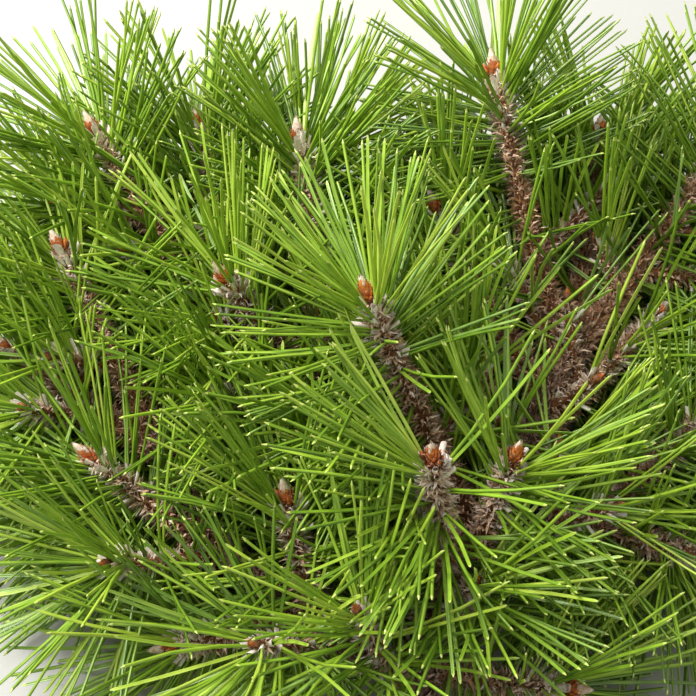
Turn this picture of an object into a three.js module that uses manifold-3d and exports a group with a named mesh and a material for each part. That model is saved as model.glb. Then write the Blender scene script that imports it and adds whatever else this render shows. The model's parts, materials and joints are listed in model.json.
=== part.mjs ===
// A bough of Austrian pine, cut from its tree and lying on level ground.
// Millimetres, +Z up, +X to the right and +Y from the cut end towards the tips.
// A curved main stem carries three side boughs. Shoots stand on all four, each with a bud
// at its tip and bundles of two stiff needles set round it in a golden-angle spiral.
import * as THREE from "three";
import { mergeVertices } from "three/addons/utils/BufferGeometryUtils.js";
import Module from "manifold-3d";

const wasm = await Module();
wasm.setup();

const rad = THREE.MathUtils.degToRad;
const lerp = THREE.MathUtils.lerp;

// Clearance between two solids that meet, and between needles of different shoots
const CLEAR = 0.3;
const SEED = 570;

// Needles: fewer than on the living bough, and thicker than its 1.9 mm
const NEEDLE_LENGTH = 72;
const NEEDLE_WIDTH = 2.6;
const NEEDLE_SIDES = 3;
const NEEDLE_WAIST = 0.6; // the share of its length where a needle is widest
const PAIR_ANGLE = rad(15);
const SHORTEST = 0.82; // of NEEDLE_LENGTH, at a shoot's foot
const LENGTH_JITTER = 0.06;
const ROOT_DEPTH = 2.2; // how far a needle's root lies inside its stem
const GOLDEN_ANGLE = Math.PI * (3 - Math.sqrt(5));
const BUNDLE_SPACING = 3.6; // along a shoot
const BARE_FOOT = 0.14; // the share of a shoot that carries no needles
const TIP_CROWDING = 1.3; // above 1, bundles crowd towards the bud
const LEAN_BUD = rad(22); // from the shoot's own direction
const LEAN_OPEN = rad(84);
const OPENING = 16; // how far below the bud most of the leaning is done
const LEAN_JITTER = rad(14);
const TURN_JITTER = rad(22);

// Shoots and their buds
const SHOOT_FOOT_RADIUS = 4.4;
const SHOOT_TIP_RADIUS = 3.2;
const SHOOT_SIDES = 5;
const SHOOT_RINGS = 4;
const SHOOT_SAG = 0.12; // of its length: a shoot sets out flatter than it ends
const BUD_LENGTH = 14;
const BUD_RADIUS = 3;
const BUD_RINGS = 4;

// Limbs
const LIMB_SIDES = 8;
const LIMB_RINGS = 9;
const KNUCKLE = 1.2; // the swelling at a limb's tip, in limb radii

const LIMBS = [
  {
    name: "main_stem",
    radius: [9, 6.5],
    through: [[19, -225, 9], [29, -184, 20], [54, -133, 38], [79, -80, 46], [107, -27, 50]],
  },
  {
    name: "middle_bough",
    radius: [5.6, 4.8],
    from: { limb: "main_stem", at: 0.5 },
    through: [[22, -88, 42], [-8, -52, 42], [-63, -11, 45]],
  },
  {
    name: "left_bough",
    radius: [6.2, 4.8],
    from: { limb: "main_stem", at: 0.2 },
    through: [[-20, -153, 29], [-61, -121, 37], [-88, -71, 42]],
  },
  {
    name: "right_bough",
    radius: [5.4, 4.8],
    from: { limb: "main_stem", at: 0.42 },
    through: [[82, -130, 39], [112, -112, 42]],
  },
];

// Each shoot stands at a share of its limb's length and ends at its bud.
const SHOOTS = [
  { name: "centre_shoot", limb: "main_stem", at: 0.52, bud: [7, -49, 135] },
  { name: "front_shoot", limb: "main_stem", at: 0.38, bud: [34, -118, 120] },
  { name: "front_side_shoot", limb: "main_stem", at: 0.46, bud: [71, -105, 95] },
  { name: "upper_shoot", limb: "main_stem", at: 0.95, bud: [68, 87, 118] },
  { name: "leader_shoot", limb: "main_stem", at: 1, bud: [127, 94, 62] },
  { name: "upper_right_shoot", limb: "main_stem", at: 0.97, bud: [189, 68, 105] },
  { name: "upper_inner_shoot", limb: "main_stem", at: 0.86, bud: [41, 40, 72] },
  { name: "top_centre_shoot", limb: "middle_bough", at: 0.55, bud: [-24, 65, 95] },
  { name: "middle_left_shoot", limb: "middle_bough", at: 0.62, bud: [-57, -17, 98] },
  { name: "top_left_shoot", limb: "middle_bough", at: 1, bud: [-124, 73, 90] },
  { name: "top_inner_shoot", limb: "middle_bough", at: 0.95, bud: [-75, 91, 72] },
  { name: "inner_left_shoot", limb: "left_bough", at: 0.3, bud: [-27, -115, 78] },
  { name: "lower_left_shoot", limb: "left_bough", at: 0.62, bud: [-116, -93, 70] },
  { name: "far_left_shoot", limb: "left_bough", at: 1, bud: [-135, 8, 85] },
  { name: "left_edge_shoot", limb: "left_bough", at: 0.95, bud: [-162, -30, 56] },
  { name: "left_low_shoot", limb: "left_bough", at: 0.36, bud: [-80, -172, 40] },
  { name: "right_shoot", limb: "right_bough", at: 1, bud: [170, -62, 66] },
  { name: "lower_right_shoot", limb: "right_bough", at: 0.92, bud: [168, -138, 56] },
  { name: "right_low_shoot", limb: "main_stem", at: 0.24, bud: [98, -190, 40] },
  { name: "behind_right_shoot", limb: "main_stem", at: 0.74, bud: [148, -12, 58] },
];

const bark = new THREE.MeshStandardMaterial({ color: 0x7b5c48, roughness: 0.9, metalness: 0 });
const foliage = new THREE.MeshStandardMaterial({ color: 0x5f9330, roughness: 0.5, metalness: 0 });

const point = ([x, y, z]) => new THREE.Vector3(x, y, z);

function seededRandom(seed) {
  let state = seed;
  return () => {
    state = (state * 1664525 + 1013904223) % 4294967296;
    return state / 4294967296;
  };
}

// A closed geometry as a solid that can be joined and cut
function solidOf(geometry) {
  const loose = geometry.index ? geometry.toNonIndexed() : geometry;
  const shell = new THREE.BufferGeometry().setAttribute("position", loose.getAttribute("position"));
  const merged = mergeVertices(shell, 1e-4);
  return new wasm.Manifold(
    new wasm.Mesh({
      numProp: 3,
      vertProperties: merged.attributes.position.array,
      triVerts: new Uint32Array(merged.index.array),
    }),
  );
}

// A solid's one largest body as a geometry; loose scraps of a cut are dropped.
function geometryOf(solid) {
  const [largest] = solid.decompose().sort((a, b) => b.volume() - a.volume());
  const mesh = largest.getMesh();
  return new THREE.BufferGeometry()
    .setAttribute("position", new THREE.BufferAttribute(mesh.vertProperties, 3))
    .setIndex(new THREE.BufferAttribute(mesh.triVerts, 1));
}

// A round limb along a curve: a cylinder whose rings are carried onto the curve.
function limbGeometry(curve, [footRadius, tipRadius], sides, rings) {
  const geometry = new THREE.CylinderGeometry(1, 1, 1, sides, rings);
  const frames = curve.computeFrenetFrames(rings, false);
  const position = geometry.attributes.position;
  for (let i = 0; i < position.count; i++) {
    const t = position.getY(i) + 0.5;
    const ring = Math.round(t * rings);
    const radius = lerp(footRadius, tipRadius, t);
    const place = curve
      .getPointAt(t)
      .addScaledVector(frames.binormals[ring], position.getX(i) * radius)
      .addScaledVector(frames.normals[ring], position.getZ(i) * radius);
    position.setXYZ(i, place.x, place.y, place.z);
  }
  return geometry;
}

function knuckleGeometry(curve, radius) {
  const tip = curve.getPointAt(1);
  return new THREE.IcosahedronGeometry(radius * KNUCKLE, 1).translate(tip.x, tip.y, tip.z);
}

// A limb with the knuckle at its tip; grown is the extra radius of a cutter made from it.
function limbSolid(curve, radii, grown) {
  const [foot, tip] = radii.map((radius) => radius + grown);
  const body = solidOf(limbGeometry(curve, [foot, tip], LIMB_SIDES, LIMB_RINGS));
  return body.add(solidOf(knuckleGeometry(curve, tip)));
}

function shootSolid(curve, grown) {
  const radii = [SHOOT_FOOT_RADIUS + grown, SHOOT_TIP_RADIUS + grown];
  const stem = solidOf(limbGeometry(curve, radii, SHOOT_SIDES, SHOOT_RINGS));
  const bud = new THREE.SphereGeometry(1, SHOOT_SIDES, BUD_RINGS)
    .scale(BUD_RADIUS + grown, BUD_LENGTH / 2 + grown, BUD_RADIUS + grown)
    .applyQuaternion(turnTo(curve.getTangentAt(1)));
  const place = curve.getPointAt(1);
  return stem.add(solidOf(bud.translate(place.x, place.y, place.z)));
}

const turnTo = (direction) =>
  new THREE.Quaternion().setFromUnitVectors(new THREE.Vector3(0, 1, 0), direction);

// One needle of length 1 along +Y: a slim three-sided spindle, pointed at its root and tip
function unitNeedle() {
  const shape = new THREE.SphereGeometry(1, NEEDLE_SIDES, 2);
  const position = shape.attributes.position;
  for (let i = 0; i < position.count; i++) {
    const y = position.getY(i);
    position.setY(i, y > 0.5 ? 1 : y < -0.5 ? 0 : NEEDLE_WAIST);
  }
  return shape.scale(NEEDLE_WIDTH / 2, 1, NEEDLE_WIDTH / 2);
}

const needleShape = unitNeedle();

function needleSolid({ start, end }) {
  const along = end.clone().sub(start);
  const length = along.length();
  return solidOf(
    needleShape
      .clone()
      .scale(1, length, 1)
      .applyQuaternion(turnTo(along.normalize()))
      .translate(start.x, start.y, start.z),
  );
}

// The shortest distance between two straight pieces a and b, each { start, end }
function distanceBetween(a, b) {
  const u = a.end.clone().sub(a.start);
  const v = b.end.clone().sub(b.start);
  const w = a.start.clone().sub(b.start);
  const uu = u.dot(u);
  const uv = u.dot(v);
  const vv = v.dot(v);
  const clamp = THREE.MathUtils.clamp;
  const spread = uu * vv - uv * uv;
  let s = spread > 1e-9 ? clamp((uv * v.dot(w) - vv * u.dot(w)) / spread, 0, 1) : 0;
  const t = clamp((uv * s + v.dot(w)) / vv, 0, 1);
  s = clamp((uv * t - u.dot(w)) / uu, 0, 1);
  return w.addScaledVector(u, s).addScaledVector(v, -t).length();
}

// A limb or shoot as straight pieces with a radius, for the needles to keep clear of
function stretches(curve, [footRadius, tipRadius], count) {
  return Array.from({ length: count }, (_, i) => ({
    start: curve.getPointAt(i / count),
    end: curve.getPointAt((i + 1) / count),
    radius: lerp(footRadius, tipRadius, i / count),
  }));
}

// The curve of a shoot: it leaves its limb low and turns up to its bud.
function shootCurve(foot, bud) {
  const middle = foot.clone().lerp(bud, 0.5);
  middle.z -= SHOOT_SAG * foot.distanceTo(bud);
  return new THREE.QuadraticBezierCurve3(foot, middle, bud);
}

// The growth rule: needle bundles climb a shoot by the golden angle. Each needle starts
// inside the stem, and one that would reach under the ground rests its tip on it.
function needlesOf(shoot, random) {
  const shootLength = shoot.curve.getLength();
  const count = Math.round((shootLength * (1 - BARE_FOOT)) / BUNDLE_SPACING);
  const jitter = (size) => size * (2 * random() - 1);
  const needles = [];
  for (let i = 0; i < count; i++) {
    const climb = (i + 0.5) / count;
    const t = lerp(BARE_FOOT, 1, 1 - (1 - climb) ** TIP_CROWDING);
    const below = shootLength * (1 - t);
    const axis = shoot.curve.getTangentAt(t);
    const outward = new THREE.Vector3(1, 0, 0)
      .cross(axis)
      .normalize()
      .applyAxisAngle(axis, i * GOLDEN_ANGLE + jitter(TURN_JITTER));
    const lean = lerp(LEAN_OPEN, LEAN_BUD, Math.exp(-below / OPENING)) + jitter(LEAN_JITTER);
    const length = NEEDLE_LENGTH * lerp(SHORTEST, 1, climb) * (1 + jitter(LENGTH_JITTER));
    const across = new THREE.Vector3().crossVectors(axis, outward);
    const heart = axis.multiplyScalar(Math.cos(lean)).addScaledVector(outward, Math.sin(lean));
    const root = shoot.curve
      .getPointAt(t)
      .addScaledVector(outward, lerp(SHOOT_FOOT_RADIUS, SHOOT_TIP_RADIUS, t) - ROOT_DEPTH);
    for (const side of [-1, 1]) {
      const start = root.clone().addScaledVector(across, (side * NEEDLE_WIDTH) / 2);
      const end = start
        .clone()
        .addScaledVector(heart, length * Math.cos(PAIR_ANGLE / 2))
        .addScaledVector(across, side * length * Math.sin(PAIR_ANGLE / 2));
      end.z = Math.max(end.z, 0);
      needles.push({ start, end, shoot: shoot.name, climb });
    }
  }
  return needles;
}

const limbs = new Map();
for (const { name, radius, from, through } of LIMBS) {
  const foot = from ? [limbs.get(from.limb).curve.getPointAt(from.at)] : [];
  const curve = new THREE.CatmullRomCurve3([...foot, ...through.map(point)]);
  limbs.set(name, { name, radius, curve });
}

const shoots = SHOOTS.map(({ name, limb, at, bud }) => ({
  name,
  curve: shootCurve(limbs.get(limb).curve.getPointAt(at), point(bud)),
}));

// Wood first. Each later limb or shoot is cut clear of all that stand before it.
const wood = new Map();
let taken = null;
function placeWood(name, solid, cutter) {
  wood.set(name, taken ? solid.subtract(taken) : solid);
  taken = taken ? taken.add(cutter) : cutter;
}
for (const { name, curve, radius } of limbs.values())
  placeWood(name, limbSolid(curve, radius, 0), limbSolid(curve, radius, CLEAR));
for (const { name, curve } of shoots)
  placeWood(name, shootSolid(curve, 0), shootSolid(curve, CLEAR));

// Then the needles, which keep clear of every limb, of the other shoots and of their needles.
// They are placed from the buds down, on all the shoots at once.
const obstacles = [...limbs.values()].flatMap(({ name, curve, radius }) =>
  stretches(curve, radius, LIMB_RINGS).map((stretch) => ({ ...stretch, owner: name })),
);
for (const { name, curve } of shoots) {
  const stem = stretches(curve, [SHOOT_FOOT_RADIUS, SHOOT_TIP_RADIUS], SHOOT_RINGS);
  const start = curve.getPointAt(1);
  const end = start.clone().addScaledVector(curve.getTangentAt(1), BUD_LENGTH / 2);
  const pieces = [...stem, { start, end, radius: BUD_RADIUS }];
  obstacles.push(...pieces.map((piece) => ({ ...piece, owner: name })));
}
const random = seededRandom(SEED);
const placed = [];
const wanted = shoots.flatMap((shoot) => needlesOf(shoot, random));
for (const needle of wanted.sort((a, b) => b.climb - a.climb)) {
  const own = needle.shoot;
  const blocked =
    obstacles.some(
      (piece) =>
        piece.owner !== own &&
        distanceBetween(needle, piece) < piece.radius * KNUCKLE + NEEDLE_WIDTH / 2 + CLEAR,
    ) ||
    placed.some(
      (other) => other.shoot !== own && distanceBetween(needle, other) < NEEDLE_WIDTH + CLEAR,
    );
  if (!blocked) placed.push(needle);
}

// A node's origin is the point where its curve starts.
function node(name, curve, solid, material) {
  const foot = curve.getPointAt(0);
  const geometry = geometryOf(solid).translate(-foot.x, -foot.y, -foot.z);
  const mesh = new THREE.Mesh(geometry, material);
  mesh.name = name;
  mesh.position.copy(foot);
  return mesh;
}

const bough = new THREE.Group();
bough.name = "cut_pine_bough";
for (const { name, curve } of limbs.values()) bough.add(node(name, curve, wood.get(name), bark));
for (const { name, curve } of shoots) {
  const needles = placed.filter((needle) => needle.shoot === name).map(needleSolid);
  const mass = wasm.Manifold.union([wood.get(name), ...needles]);
  bough.add(node(name, curve, mass, foliage));
}

// The row frame's origin is on the ground, under the middle of the bough.
const bounds = new THREE.Box3().setFromObject(bough, true);
const middle = bounds.getCenter(new THREE.Vector3());
bough.position.set(-middle.x, -middle.y, -bounds.min.z);

export default bough;
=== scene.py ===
import json
import math

import bpy
import numpy as np
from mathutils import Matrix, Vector

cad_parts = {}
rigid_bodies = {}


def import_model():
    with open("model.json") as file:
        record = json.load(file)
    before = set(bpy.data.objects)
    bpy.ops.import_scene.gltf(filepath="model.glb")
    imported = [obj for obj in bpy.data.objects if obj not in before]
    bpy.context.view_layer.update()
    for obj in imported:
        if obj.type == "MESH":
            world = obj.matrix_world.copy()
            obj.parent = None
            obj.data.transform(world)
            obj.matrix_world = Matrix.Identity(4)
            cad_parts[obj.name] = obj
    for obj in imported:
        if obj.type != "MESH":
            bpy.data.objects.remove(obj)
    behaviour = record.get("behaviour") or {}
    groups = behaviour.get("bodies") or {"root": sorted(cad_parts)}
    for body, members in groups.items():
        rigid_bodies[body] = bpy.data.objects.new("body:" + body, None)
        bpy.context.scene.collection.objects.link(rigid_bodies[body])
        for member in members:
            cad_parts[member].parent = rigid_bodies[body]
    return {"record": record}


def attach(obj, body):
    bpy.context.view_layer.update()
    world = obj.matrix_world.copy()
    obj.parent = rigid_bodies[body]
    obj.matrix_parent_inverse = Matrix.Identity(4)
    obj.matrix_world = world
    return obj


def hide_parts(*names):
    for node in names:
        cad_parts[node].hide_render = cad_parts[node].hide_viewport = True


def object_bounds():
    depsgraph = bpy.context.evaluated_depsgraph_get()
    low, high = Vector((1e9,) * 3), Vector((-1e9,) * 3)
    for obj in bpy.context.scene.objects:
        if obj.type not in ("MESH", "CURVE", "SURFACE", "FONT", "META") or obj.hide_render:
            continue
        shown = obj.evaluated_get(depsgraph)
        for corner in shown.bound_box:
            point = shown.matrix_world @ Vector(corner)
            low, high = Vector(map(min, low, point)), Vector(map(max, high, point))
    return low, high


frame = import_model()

cad_low, cad_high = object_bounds()


# Main stem and side boughs. Pine wood, two to four years old, under thin rough bark. The bark
# still has the cushions that the old bracts stood on, set in crossing spirals, and swells
# where a bough grows out of the stem and at the knuckle where a whorl of shoots stands.
MM = 0.001  # sizes are in millimetres: X to the right, Y to the back, Z up
LIMBS = {
    "main_stem": {
        "radii": (9.0, 6.5),
        "through": [(19, -225, 9), (29, -184, 20), (54, -133, 38), (79, -80, 46), (107, -27, 50)],
    },
    "middle_bough": {
        "radii": (5.6, 4.8),
        "parent": ("main_stem", 0.5),
        "through": [(22, -88, 42), (-8, -52, 42), (-63, -11, 45)],
    },
    "left_bough": {
        "radii": (6.2, 4.8),
        "parent": ("main_stem", 0.2),
        "through": [(-20, -153, 29), (-61, -121, 37), (-88, -71, 42)],
    },
    "right_bough": {
        "radii": (5.4, 4.8),
        "parent": ("main_stem", 0.42),
        "through": [(82, -130, 39), (112, -112, 42)],
    },
}
KNUCKLE = 1.2  # the tip's swelling, in limb radii
COLLAR = 0.3  # extra radius where a bough leaves the stem
COLLAR_LENGTH = 9.0
DOME_RINGS = 4  # in the dome that closes a limb's tip
BARK_STEP = 1.0  # between the rings of the bark's mesh
BARK_SIDES = 8  # round the bark's mesh, for every BARK_WIDE of its radius
BARK_WIDE = 1.25
CUSHION_WIDTH = 3.8
CUSHION_LENGTH = 7.0
CUSHION_RISE = 0.75
CUSHION_CROSSING = 0.62  # cushions on the other spiral, for each on the first
CUSHION_SLANT = 0.8  # and how fast it climbs, beside the first
CUSHION_ROUND = 0.6  # below 1 the cushions are round and the grooves narrow
BARK_GRIT = 0.09
BARK_SEED = 41
UP = np.array([0.0, 0.0, 1.0])

# The row's own frame lies off from these sizes by as much as the middle of the cut does.
cut_mount = next(m for m in frame["record"]["mounts"] if m["name"] == "cut_end")
cut_centre = np.array(LIMBS["main_stem"]["through"][0], float)
shift = np.array(cut_mount["pos_m"]) / MM - cut_centre


def unit(vectors):
    return vectors / np.linalg.norm(vectors, axis=-1, keepdims=True)


def even_steps(run, count=400):
    """The same line again, as points at equal distances."""
    travelled = np.concatenate([[0], np.cumsum(np.linalg.norm(np.diff(run, axis=0), axis=1))])
    stops = np.linspace(0, travelled[-1], count)
    return np.stack([np.interp(stops, travelled, run[:, k]) for k in range(3)], axis=1)


def limb_path(points, steps=60):
    """A smooth line through the points, bent by the square root of the distances between them."""
    points = np.array(points, float)
    ends = [2 * points[0] - points[1], *points, 2 * points[-1] - points[-2]]
    t = np.linspace(0, 1, steps, endpoint=False)[:, None]
    run = []
    for before, start, end, after in zip(ends, ends[1:], ends[2:], ends[3:]):
        near, here, far = (
            np.linalg.norm(b - a) ** 0.5 for a, b in ((before, start), (start, end), (end, after))
        )
        across = (end - start) / here
        leave = ((start - before) / near - (end - before) / (near + here) + across) * here
        arrive = (across - (after - start) / (here + far) + (after - end) / far) * here
        bend = 3 * (end - start) - 2 * leave - arrive
        run.append(start + leave * t + bend * t**2 + (2 * (start - end) + leave + arrive) * t**3)
    return even_steps(np.concatenate([*run, points[-1:]]))


def at(path, share):
    steps = np.linspace(0, 1, len(path))
    return np.stack([np.interp(share, steps, path[:, k]) for k in range(3)], axis=-1)


def heading(path, share):
    step = 1 / len(path)
    return unit(at(path, np.minimum(share + step, 1)) - at(path, np.maximum(share - step, 0)))


def length_of(path):
    return np.linalg.norm(np.diff(path, axis=0), axis=1).sum()


def taper(radii, share):
    """A limb's radius at a share of its length: radii are those of its foot and its tip."""
    return radii[0] + (radii[1] - radii[0]) * share


def round_about(axis, reference, turn):
    """The direction square to axis, turned about it from the side that reference gives."""
    side = unit(np.cross(reference, axis))
    turn = np.asarray(turn)[..., None]
    return side * np.cos(turn) + np.cross(axis, side) * np.sin(turn)


def all_round(sides):
    return np.linspace(0, 2 * math.pi, sides, endpoint=False)


def make_mesh(name, points, lines=(), faces=()):
    mesh = bpy.data.meshes.new(name)
    mesh.from_pydata(points, lines, faces)
    return mesh


def add_object(name, data):
    made = bpy.data.objects.new(name, data)
    bpy.context.scene.collection.objects.link(made)
    return made


def piece_from(name, points, faces, material):
    """A new piece at the origin, from points in millimetres of the bough's own frame."""
    mesh = make_mesh(name, ((points + shift) * MM).tolist(), faces=faces)
    mesh.shade_smooth()
    mesh.materials.append(material)
    return add_object(name, mesh)


def carry(mesh, name, values):
    """Gives each of a mesh's points a number or a direction, for nodes to read."""
    kind, key = ("FLOAT", "value") if values.ndim == 1 else ("FLOAT_VECTOR", "vector")
    data = mesh.attributes.new(name, kind, "POINT").data
    data.foreach_set(key, values.astype(np.float32).ravel())


def sleeve(rings, ends):
    """Points and faces of a closed sleeve: rings of points, then its foot and its tip."""
    count, sides = rings.shape[:2]
    ring, side = np.meshgrid(np.arange(count - 1), np.arange(sides), indexing="ij")
    low = ring * sides + side
    low_next = ring * sides + (side + 1) % sides
    quads = np.stack([low, low_next, low_next + sides, low + sides], axis=-1).reshape(-1, 4)
    foot, tip = count * sides, count * sides + 1
    last = (count - 1) * sides
    around = range(sides)
    foot_fan = [(foot, (s + 1) % sides, s) for s in around]
    tip_fan = [(tip, last + s, last + (s + 1) % sides) for s in around]
    points = np.concatenate([rings.reshape(-1, 3), ends])
    return points, quads.tolist() + foot_fan + tip_fan


def add_node(tree, kind, inputs=None, **settings):
    """Adds a node. Its inputs are values, or other nodes' outputs to link to."""
    made = tree.nodes.new(kind)
    for setting, value in settings.items():
        setattr(made, setting, value)
    for socket, value in (inputs or {}).items():
        if isinstance(value, bpy.types.NodeSocket):
            tree.links.new(value, made.inputs[socket])
        else:
            made.inputs[socket].default_value = value
    return made


def srgb(code):
    """A colour written as sRGB hex, such as 0x7B5C48, in linear light."""
    channels = [(code >> bits & 255) / 255 for bits in (16, 8, 0)]
    linear = [c / 12.92 if c <= 0.04045 else ((c + 0.055) / 1.055) ** 2.4 for c in channels]
    return (*linear, 1.0)


def new_material(name, roughness, **sockets):
    """An empty material with its shader, its tree and the coordinates that its patterns read."""
    material = bpy.data.materials.new(name)
    material.use_nodes = True
    tree = material.node_tree
    shader = tree.nodes["Principled BSDF"]
    shader.inputs["Roughness"].default_value = roughness
    for socket, value in sockets.items():
        shader.inputs[socket.replace("_", " ")].default_value = value
    place = add_node(tree, "ShaderNodeTexCoord").outputs["Object"]
    return material, tree, shader, place


def shade_between(tree, factor, dark, light, low=0.3, high=0.7):
    """A ramp from a dark colour to a light one, as the factor goes from low to high."""
    ramp = add_node(tree, "ShaderNodeValToRGB", {"Fac": factor})
    for element, stop, colour in zip(ramp.color_ramp.elements, (low, high), (dark, light)):
        element.position = stop
        element.color = srgb(colour)
    return ramp.outputs["Color"]


def grain(tree, place, size_mm, detail=3.0):
    """Noise whose patches are about size_mm across."""
    pattern = {"Vector": place, "Scale": 1 / (size_mm * MM), "Detail": detail}
    return add_node(tree, "ShaderNodeTexNoise", pattern).outputs["Fac"]


def mottled(name, roughness, patch, dark, light, detail=3.0, **sockets):
    """A material whose colour wanders between a dark and a light one, in patches."""
    material, tree, shader, place = new_material(name, roughness, **sockets)
    tone = shade_between(tree, grain(tree, place, patch, detail), dark, light)
    tree.links.new(tone, shader.inputs["Base Color"])
    return material


def blend_colours(tree, factor, first, second, blend="MIX"):
    inputs = {0: factor, 6: first, 7: second}
    kind = "ShaderNodeMix"
    return add_node(tree, kind, inputs, data_type="RGBA", blend_type=blend).outputs[2]


# Pine bark: matt, pinkish brown with grey weathering, and painted shade, nearly black, down in its
# grooves.
# The groove attribute is 0 at the bottom of a groove and 1 on top of a cushion.
BARK_PATCH = 7.0
BARK_FLECK = 0.9
BARK_FLECKED = 0.6  # how strongly the flecks show
GROOVE_SHADE_SPREAD = 1.5  # above 1 the painted shade of the grooves is wider than they are
bark, tree, shader, place = new_material("weathered_pine_bark_shaded_grooves", roughness=0.88)
tone = shade_between(tree, grain(tree, place, BARK_PATCH), 0x6E4C3A, 0xA5846F)
fleck = grain(tree, place, BARK_FLECK)
fleck = shade_between(tree, fleck, 0x8C857C, 0xFFFFFF, low=0.25, high=0.55)
tone = blend_colours(tree, BARK_FLECKED, tone, fleck, "MULTIPLY")
groove = add_node(tree, "ShaderNodeAttribute", attribute_name="groove").outputs["Fac"]
# Painted shade: the colour goes to near black down in the grooves.
tone = blend_colours(tree, groove, srgb(0x2C1C14), tone)
tree.links.new(tone, shader.inputs["Base Color"])
bump = {"Height": grain(tree, place, BARK_FLECK), "Distance": 0.3 * MM, "Strength": 0.8}
tree.links.new(add_node(tree, "ShaderNodeBump", bump).outputs["Normal"], shader.inputs["Normal"])

bark_random = np.random.default_rng(BARK_SEED)
limb_paths = {}


def cushions(along, turn, radius):
    """0 to 1: the top of a bract's cushion is 1, and the grooves between them are 0."""
    steep = round(2 * math.pi * radius / CUSHION_WIDTH)
    shallow = round(steep * CUSHION_CROSSING)
    climb = math.pi * along / CUSHION_LENGTH
    one = np.abs(np.cos(steep * turn / 2 + climb))
    other = np.abs(np.cos(shallow * turn / 2 - climb * CUSHION_SLANT))
    return np.minimum(one, other) ** CUSHION_ROUND


for name, limb in LIMBS.items():
    foot_radius, tip_radius = radii = limb["radii"]
    start = [at(limb_paths[limb["parent"][0]], limb["parent"][1])] if "parent" in limb else []
    path = limb_path([*start, *limb["through"]])
    limb_paths[name] = path
    length = length_of(path)
    sides = BARK_SIDES * round(foot_radius / BARK_WIDE)
    share = np.linspace(0, 1, round(length / BARK_STEP))
    along = share * length
    girth = taper(radii, share)
    girth *= 1 + (KNUCKLE - 1) * np.exp(-(((length - along) / tip_radius) ** 2))
    if "parent" in limb:
        girth *= 1 + COLLAR * np.exp(-along / COLLAR_LENGTH)
    turn = all_round(sides)
    cushion = cushions(along[:, None], turn[None, :], foot_radius)
    grit = bark_random.normal(0, BARK_GRIT, cushion.shape)
    radius = girth[:, None] + CUSHION_RISE * (cushion - 1) + grit
    axis = heading(path, share)[:, None, :]
    outward = round_about(axis, UP, np.broadcast_to(turn, radius.shape))
    rings = at(path, share)[:, None, :] + outward * radius[..., None]
    # The dome that closes the tip.
    dome = np.linspace(0, math.pi / 2, DOME_RINGS + 2)[1:-1]
    crown = heading(path, 1.0) * tip_radius * KNUCKLE
    tip = path[-1] + crown * np.sin(dome)[:, None]
    dome_rings = tip[:, None, :] + outward[-1] * (radius[-1][:, None] * np.cos(dome)[:, None, None])
    rings = np.concatenate([rings, dome_rings])
    cushion = np.concatenate([cushion, np.repeat(cushion[-1:], len(dome), axis=0)])
    ends = [path[0], path[-1] + crown]
    piece = piece_from(name + "_bark", *sleeve(rings, ends), bark)
    carry(piece.data, "groove", np.append(cushion.ravel() ** GROOVE_SHADE_SPREAD, [0, 1]))
    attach(piece, "root")
    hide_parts(name)


# The cut at the stem's foot. A saw went square through the stem: pale sapwood with four
# year rings and a small dark pith, inside the thin dark edge of the bark.
WOOD_RADIUS = 7.9
CUT_PROUD = 0.15  # the wood stands this far out of the bark's own end
YEAR_RINGS = 4
RING_WANDER = 0.16  # how far a year ring strays, as a share of the radius
RING_PATCH = 6.0
FIBRE_PATCH = 0.5
FIBRE_SHOWN = 0.7  # how strongly the wood's fibres show
CUT_RINGS, CUT_SIDES = 12, 48


def maths(tree, operation, *values):
    """One step of arithmetic between nodes' outputs or numbers."""
    inputs = dict(enumerate(values))
    return add_node(tree, "ShaderNodeMath", inputs, operation=operation).outputs[0]


cut_wood, tree, shader, place = new_material("sawn_pine_sapwood", roughness=0.62)
from_pith = add_node(tree, "ShaderNodeAttribute", attribute_name="from_pith").outputs["Fac"]
wander = maths(tree, "MULTIPLY_ADD", grain(tree, place, RING_PATCH), RING_WANDER, from_pith)
years = maths(tree, "SINE", maths(tree, "MULTIPLY", wander, YEAR_RINGS * 2 * math.pi))
wood = shade_between(tree, years, 0xE3C894, 0xBF9152, low=0.55, high=1.0)
fibre = shade_between(tree, grain(tree, place, FIBRE_PATCH), 0xE8DCC8, 0xFFFFFF)
wood = blend_colours(tree, FIBRE_SHOWN, wood, fibre, "MULTIPLY")
pith = shade_between(tree, from_pith, 0x6B4526, 0xFFFFFF, low=0.09, high=0.15)
wood = blend_colours(tree, 1.0, wood, pith, "MULTIPLY")
tree.links.new(wood, shader.inputs["Base Color"])

stem_path = limb_paths["main_stem"]
saw_side = -heading(stem_path, 0.0)
disc_share = np.linspace(0, 1, CUT_RINGS + 1)[1:]
spokes = round_about(saw_side, UP, all_round(CUT_SIDES))
disc = disc_share[:, None, None] * spokes[None] * WOOD_RADIUS
front = cut_centre + saw_side * CUT_PROUD + disc
back = cut_centre - saw_side + disc[-1:]
ends = [front[0].mean(0), back[0].mean(0)]
piece = piece_from("cut_face", *sleeve(np.concatenate([front, back]), ends), cut_wood)
distance = np.concatenate([np.repeat(disc_share, CUT_SIDES), np.ones(CUT_SIDES), [0, 1]])
carry(piece.data, "from_pith", distance)
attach(piece, "root")


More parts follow.
